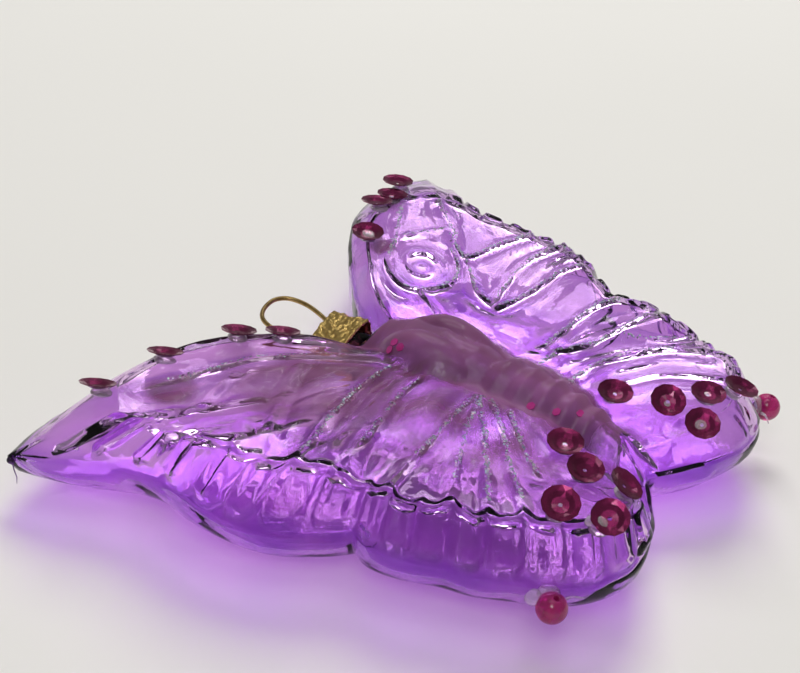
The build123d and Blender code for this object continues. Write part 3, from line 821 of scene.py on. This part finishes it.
def patchy_group():
    """A node group of soft noise over an object's own coordinates: two blended colours, and a height."""
    group = bpy.data.node_groups.new("patchy_finish", "ShaderNodeTree")
    for name, kind in (("Scale", "Float"), ("Detail", "Float"), ("Dark", "Color"), ("Light", "Color")):
        group.interface.new_socket(name, in_out="INPUT", socket_type=f"NodeSocket{kind}")
    for name, kind in (("Color", "Color"), ("Height", "Float")):
        group.interface.new_socket(name, in_out="OUTPUT", socket_type=f"NodeSocket{kind}")
    given = group.nodes.new("NodeGroupInput").outputs
    place = node(group, "ShaderNodeTexCoord").outputs["Object"]
    sources = {"Vector": place, "Scale": given["Scale"], "Detail": given["Detail"]}
    noise = node(group, "ShaderNodeTexNoise", sources).outputs["Fac"]
    share = node(group, "ShaderNodeMapRange", {"Value": noise}, From_Min=0.3, From_Max=0.7)
    colours = {"Factor": share.outputs[0], "A": given["Dark"], "B": given["Light"]}
    blend = node(group, "ShaderNodeMix", colours, data_type="RGBA")
    node(group, "NodeGroupOutput", {"Color": blend.outputs["Result"], "Height": noise})
    return group


PATCHY = patchy_group()


def patchy(tree, scale, dark=(0, 0, 0), light=(1, 1, 1), detail=2.0):
    """The patchy finish placed in a material: scale in waves a metre, and its dark and light colours."""
    made = node(tree, "ShaderNodeGroup", node_tree=PATCHY)
    constants(made, Scale=scale, Detail=detail, Dark=(*dark, 1), Light=(*light, 1))
    return made.outputs


def bumped(tree, surface, height, strength, distance):
    """Let a height drive the shader's normal."""
    bump = node(tree, "ShaderNodeBump", {"Height": height}, Strength=strength, Distance=distance)
    tree.links.new(bump.outputs[0], surface.inputs["Normal"])


def paint(made, *names):
    """Put a material on every mesh whose name starts with one of the names."""
    for item in bpy.context.scene.objects:
        if item.type == "MESH" and item.name.startswith(names):
            item.data.materials.clear()
            item.data.materials.append(made)


violet, tree, surface = material("violet_blown_glass")
tint = patchy(tree, 60.0, (0.83, 0.54, 0.93), (0.90, 0.65, 0.96))["Color"]
# The deep mark deepens the violet at the rim, and as painted shade along the ribs and on the right wing.
deep_mark = node(tree, "ShaderNodeAttribute", attribute_name="deep")
deep_mix = node(tree, "ShaderNodeMix", {"Factor": deep_mark.outputs["Fac"], "A": tint}, data_type="RGBA")
deep_mix.inputs["B"].default_value = (0.60, 0.36, 0.80, 1)
tree.links.new(deep_mix.outputs["Result"], surface.inputs["Base Color"])
bumped(tree, surface, patchy(tree, 300.0)["Height"], 0.15, 0.0004)
constants(surface, Transmission_Weight=1.0, Roughness=0.02, IOR=1.33)
# Lamps shine through every face of the glass with this tint, so that its shadow is violet
let_through = node(tree, "ShaderNodeBsdfTransparent", Color=(0.60, 0.38, 0.75, 1))
shadow_ray = node(tree, "ShaderNodeLightPath").outputs["Is Shadow Ray"]
mixed = node(tree, "ShaderNodeMixShader", {0: shadow_ray, 1: surface.outputs[0], 2: let_through.outputs[0]})
tree.links.new(mixed.outputs[0], tree.nodes["Material Output"].inputs["Surface"])
paint(violet, "glass_butterfly", "glass_neck")

dark_violet, tree, surface = material("dark_violet_glass")
constants(surface, Base_Color=(0.20, 0.08, 0.30, 1), Transmission_Weight=1.0, Roughness=0.05, IOR=1.45)
paint(dark_violet, "glass_tip")

mauve, tree, surface = material("mauve_lacquer")
shade = patchy(tree, 90.0, (0.15, 0.038, 0.115), (0.28, 0.085, 0.22), detail=4.0)["Color"]
tree.links.new(shade, surface.inputs["Base Color"])
cover_mark = node(tree, "ShaderNodeAttribute", attribute_name="cover")
tree.links.new(cover_mark.outputs["Fac"], surface.inputs["Alpha"])
constants(surface, Roughness=0.38, Coat_Weight=0.35, Coat_Roughness=0.08)
paint(mauve, "mauve_lacquer")

gold, tree, surface = material("gold_foil")
place = node(tree, "ShaderNodeTexCoord").outputs["Object"]
grain = node(tree, "ShaderNodeTexVoronoi", {"Vector": place}, Scale=1500.0).outputs["Distance"]
bumped(tree, surface, grain, 0.5, 0.0003)
constants(surface, Base_Color=(0.72, 0.50, 0.17, 1), Metallic=1.0, Roughness=0.28)
paint(gold, "gold_cap")

wire_gold, tree, surface = material("dull_gold_wire")
shade = patchy(tree, 700.0, (0.31, 0.197, 0.07), (0.55, 0.383, 0.15))["Color"]
tree.links.new(shade, surface.inputs["Base Color"])
constants(surface, Metallic=1.0, Roughness=0.30)
paint(wire_gold, "gold_wire_loop")

crimson, tree, surface = material("crimson_film")
shade = patchy(tree, 240.0, (0.13, 0.006, 0.048), (0.28, 0.016, 0.11))["Color"]
tree.links.new(shade, surface.inputs["Base Color"])
constants(surface, Metallic=0.85, Roughness=0.26, Coat_Weight=0.3, Coat_Roughness=0.06)
paint(crimson, "cup_")

bead_glass, tree, surface = material("crimson_bead_glass")
shade = patchy(tree, 300.0, (0.50, 0.015, 0.16), (0.66, 0.04, 0.26))["Color"]
tree.links.new(shade, surface.inputs["Base Color"])
constants(surface, Transmission_Weight=0.6, Roughness=0.07)
paint(bead_glass, "glass_bead")

clear, tree, surface = material("clear_glue")
shade = patchy(tree, 500.0, (0.90, 0.80, 0.86), (0.98, 0.94, 0.97))["Color"]
tree.links.new(shade, surface.inputs["Base Color"])
bumped(tree, surface, patchy(tree, 900.0)["Height"], 0.4, 0.0003)
constants(surface, Transmission_Weight=0.75, Roughness=0.22, IOR=1.40)
paint(clear, "clear_glue", "glue_dabs")

silver, tree, surface = material("iridescent_flakes")
mark = node(tree, "ShaderNodeAttribute", attribute_name="tint").outputs["Fac"]
hues = [
    (0.0, (0.70, 0.62, 0.80)), (0.3, (0.50, 0.66, 0.80)), (0.55, (0.80, 0.58, 0.72)),
    (0.8, (0.62, 0.78, 0.70)), (1.0, (0.78, 0.78, 0.82)),
]
tree.links.new(ramp(tree, mark, hues), surface.inputs["Base Color"])
constants(surface, Metallic=0.85, Roughness=0.30)
paint(silver, "glitter_")

pink, tree, surface = material("hot_pink_film")
shade = patchy(tree, 400.0, (0.62, 0.03, 0.28), (0.85, 0.10, 0.48))["Color"]
tree.links.new(shade, surface.inputs["Base Color"])
constants(surface, Metallic=0.6, Roughness=0.22)
paint(pink, "flakes_")


# Floor, lights and camera

reach = 3000
floor_corners = [(-reach, -reach, 0), (reach, -reach, 0), (reach, reach, 0), (-reach, reach, 0)]
floor = new_mesh("floor", floor_corners, [[0, 1, 2, 3]])
floor.location.z = -0.00002
table, tree, surface = material("pale_table")
shade = patchy(tree, 6.0, (0.79, 0.775, 0.735), (0.81, 0.795, 0.755))["Color"]
tree.links.new(shade, surface.inputs["Base Color"])
constants(surface, Roughness=0.6)
paint(table, "floor")

world = bpy.data.worlds.new("studio")
bpy.context.scene.world = world
world.use_nodes = True
world.node_tree.nodes["Background"].inputs["Color"].default_value = (1.0, 0.985, 0.96, 1)
world.node_tree.nodes["Background"].inputs["Strength"].default_value = 0.22


def soft_light(name, at, size, power):
    """A rectangular lamp at a place in millimetres, turned to the ornament."""
    lamp = bpy.data.lights.new(name, "AREA")
    lamp.shape = "RECTANGLE"
    lamp.size, lamp.size_y = size[0] * MM, size[1] * MM
    lamp.energy = power
    item = bpy.data.objects.new(name, lamp)
    bpy.context.scene.collection.objects.link(item)
    item.location = Vector(at) * MM
    item.rotation_euler = (-Vector(at)).to_track_quat("-Z", "Y").to_euler()
    return item


def light_frame(name, at, half, width, power):
    """Four strip lamps round an open square, which curved glass mirrors as small bright loops."""
    way = (-Vector(at)).normalized()
    aside = way.cross(Vector((0, 0, 1))).normalized()
    above = aside.cross(way)
    for number, (across, rise) in enumerate(((-half, 0), (half, 0), (0, -half), (0, half))):
        place = Vector(at) + aside * across + above * rise
        size = (width, 2 * half + width) if across else (2 * half - width, width)
        soft_light(f"{name}_{number + 1}", place, size, power / 4)


# The broad main light lies behind the far wing. The strips alone are mirrored, as small loops.
main_light = soft_light("main_light", (1080, 600, 1200), (900, 900), 23.5)
main_light.visible_glossy = False
light_frame("far_window", (360, 200, 400), 95, 22, 0.20)
light_frame("roof_window", (-40, -30, 600), 120, 26, 0.4)
light_frame("near_window", (-370, -160, 440), 65, 16, 0.5)

eye = Vector((-222.5, -113.95, 162.24))
target = Vector((10.56, 17.54, 10.0))
roll = math.radians(7.1)
forward = (target - eye).normalized()
level = forward.cross(Vector((0, 0, 1))).normalized()
above = level.cross(forward)
right = math.cos(roll) * level + math.sin(roll) * above
up = math.cos(roll) * above - math.sin(roll) * level
camera = bpy.data.objects.new("camera", bpy.data.cameras.new("camera"))
bpy.context.scene.collection.objects.link(camera)
camera.matrix_world = Matrix((
    (right.x, up.x, -forward.x, eye.x * MM),
    (right.y, up.y, -forward.y, eye.y * MM),
    (right.z, up.z, -forward.z, eye.z * MM),
    (0, 0, 0, 1),
))
camera.data.lens = 78.3
camera.data.sensor_width = 36
camera.data.clip_start = 0.01
bpy.context.scene.camera = camera
bpy.context.scene.view_settings.view_transform = "Standard"
